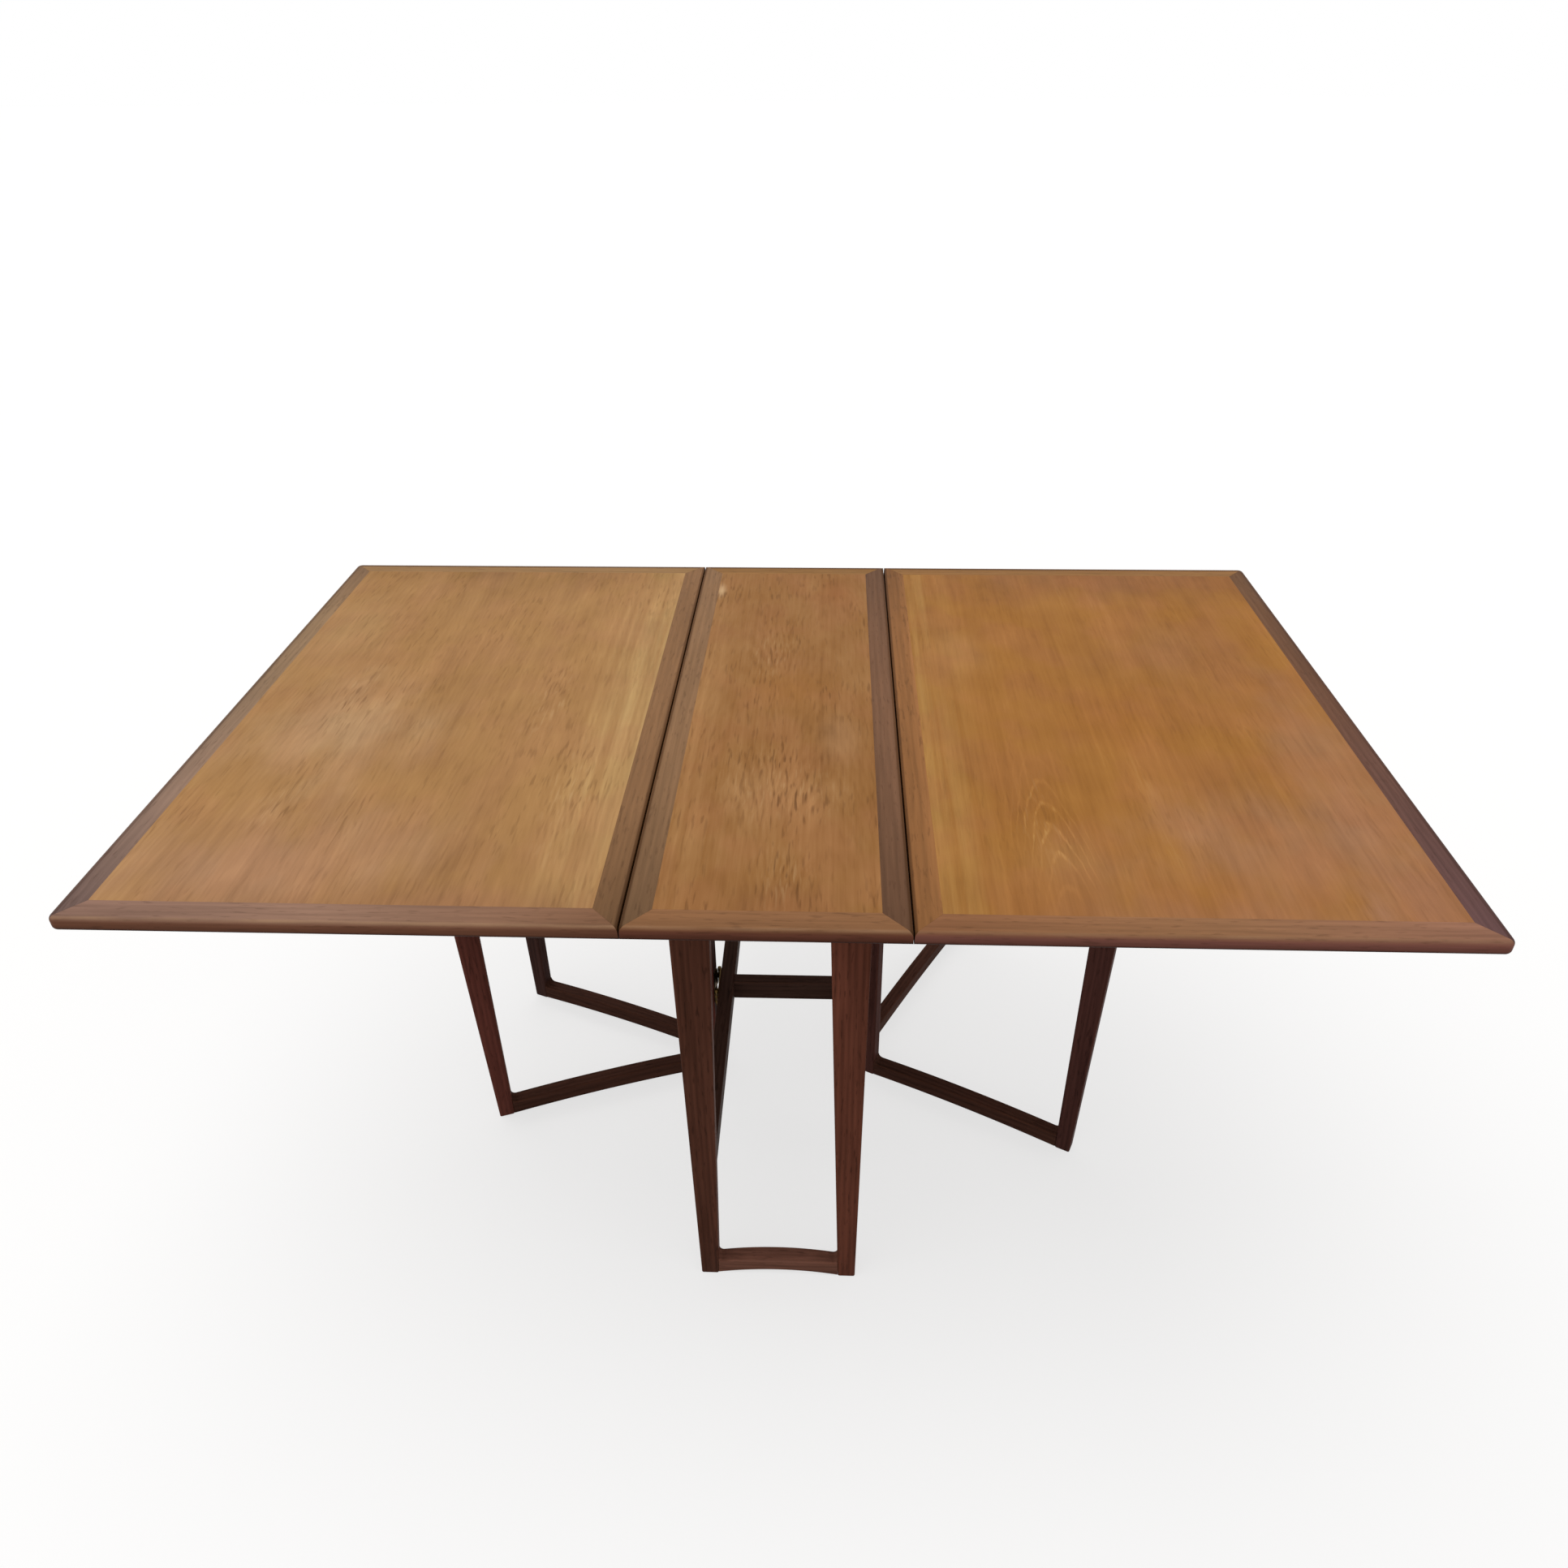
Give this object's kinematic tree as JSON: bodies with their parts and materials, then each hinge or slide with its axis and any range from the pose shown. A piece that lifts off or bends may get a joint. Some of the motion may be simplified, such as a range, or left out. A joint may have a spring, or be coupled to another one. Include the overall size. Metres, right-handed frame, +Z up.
{
  "type": "gateleg dining table",
  "caption": "Drop-leaf dining table with a narrow centre top on slim end frames, a broad veneered leaf hinged to each side, and swinging gates that carry the leaves.",
  "frame": {"origin": "on the floor, under the middle of the table top", "axes": "+X along the table's length, from the left leaf to the right leaf; +Y along the hinge lines, from the front end frame to the rear one; +Z up"},
  "size_m": [1.6, 0.975, 0.73],
  "materials": {
    "top_veneer": "oiled teak veneer, satin",
    "top_lipping": "oiled solid teak, darkened, satin",
    "frame_wood": "dark oiled solid teak, satin",
    "hinge_metal": "brass plated, dulled"
  },
  "bodies": {
    "base": {"centre_panel": "top_veneer", "centre_lipping_front": "top_lipping", "centre_lipping_rear": "top_lipping", "centre_lipping_left": "top_lipping", "centre_lipping_right": "top_lipping", "left_leaf_hinge_fixed": "hinge_metal", "right_leaf_hinge_fixed": "hinge_metal", "front_frame_leg_left": "frame_wood", "front_frame_leg_right": "frame_wood", "front_frame_foot_rail": "frame_wood", "front_frame_top_rail": "frame_wood", "rear_frame_leg_left": "frame_wood", "rear_frame_leg_right": "frame_wood", "rear_frame_foot_rail": "frame_wood", "rear_frame_top_rail": "frame_wood", "left_side_rail": "frame_wood", "right_side_rail": "frame_wood", "left_stretcher": "frame_wood", "right_stretcher": "frame_wood", "cross_stretcher": "frame_wood", "left_gate_hinge_plate_lower": "hinge_metal", "left_gate_hinge_plate_upper": "hinge_metal", "right_gate_hinge_plate_lower": "hinge_metal", "right_gate_hinge_plate_upper": "hinge_metal"},
    "left_leaf": {"left_leaf_panel": "top_veneer", "left_leaf_lipping_front": "top_lipping", "left_leaf_lipping_rear": "top_lipping", "left_leaf_lipping_hinge": "top_lipping", "left_leaf_lipping_outer": "top_lipping", "left_leaf_hinge_moving": "hinge_metal"},
    "right_leaf": {"right_leaf_panel": "top_veneer", "right_leaf_lipping_front": "top_lipping", "right_leaf_lipping_rear": "top_lipping", "right_leaf_lipping_hinge": "top_lipping", "right_leaf_lipping_outer": "top_lipping", "right_leaf_hinge_moving": "hinge_metal"},
    "gate_front_left": {"gate_front_left_post": "frame_wood", "gate_front_left_leg": "frame_wood", "gate_front_left_foot_rail": "frame_wood", "gate_front_left_top_rail": "frame_wood", "gate_front_left_hinge_lower": "hinge_metal", "gate_front_left_hinge_upper": "hinge_metal"},
    "gate_rear_left": {"gate_rear_left_post": "frame_wood", "gate_rear_left_leg": "frame_wood", "gate_rear_left_foot_rail": "frame_wood", "gate_rear_left_top_rail": "frame_wood", "gate_rear_left_hinge_lower": "hinge_metal", "gate_rear_left_hinge_upper": "hinge_metal"},
    "gate_front_right": {"gate_front_right_post": "frame_wood", "gate_front_right_leg": "frame_wood", "gate_front_right_foot_rail": "frame_wood", "gate_front_right_top_rail": "frame_wood", "gate_front_right_hinge_lower": "hinge_metal", "gate_front_right_hinge_upper": "hinge_metal"},
    "gate_rear_right": {"gate_rear_right_post": "frame_wood", "gate_rear_right_leg": "frame_wood", "gate_rear_right_foot_rail": "frame_wood", "gate_rear_right_top_rail": "frame_wood", "gate_rear_right_hinge_lower": "hinge_metal", "gate_rear_right_hinge_upper": "hinge_metal"}
  },
  "joints": [
    {"name": "left_leaf_lift", "type": "hinge", "parent": "base", "child": "left_leaf", "pos_m": [-0.161, 0, 0.7074], "axis": [0, 1, 0], "range_deg": [0, 4]},
    {"name": "right_leaf_lift", "type": "hinge", "parent": "base", "child": "right_leaf", "pos_m": [0.161, 0, 0.7074], "axis": [0, -1, 0], "range_deg": [0, 4]},
    {"name": "gate_front_left_swing", "type": "hinge", "parent": "base", "child": "gate_front_left", "pos_m": [-0.1181, -0.0265, 0], "axis": [0, 0, -1], "range_deg": [-71.2, 18.8]},
    {"name": "gate_rear_left_swing", "type": "hinge", "parent": "base", "child": "gate_rear_left", "pos_m": [-0.1181, 0.0265, 0], "axis": [0, 0, 1], "range_deg": [-69.3, 20.7]},
    {"name": "gate_front_right_swing", "type": "hinge", "parent": "base", "child": "gate_front_right", "pos_m": [0.1181, -0.0265, 0], "axis": [0, 0, 1], "range_deg": [-63.9, 26.1]},
    {"name": "gate_rear_right_swing", "type": "hinge", "parent": "base", "child": "gate_rear_right", "pos_m": [0.1181, 0.0265, 0], "axis": [0, 0, -1], "range_deg": [-30.5, 59.5]}
  ]
}
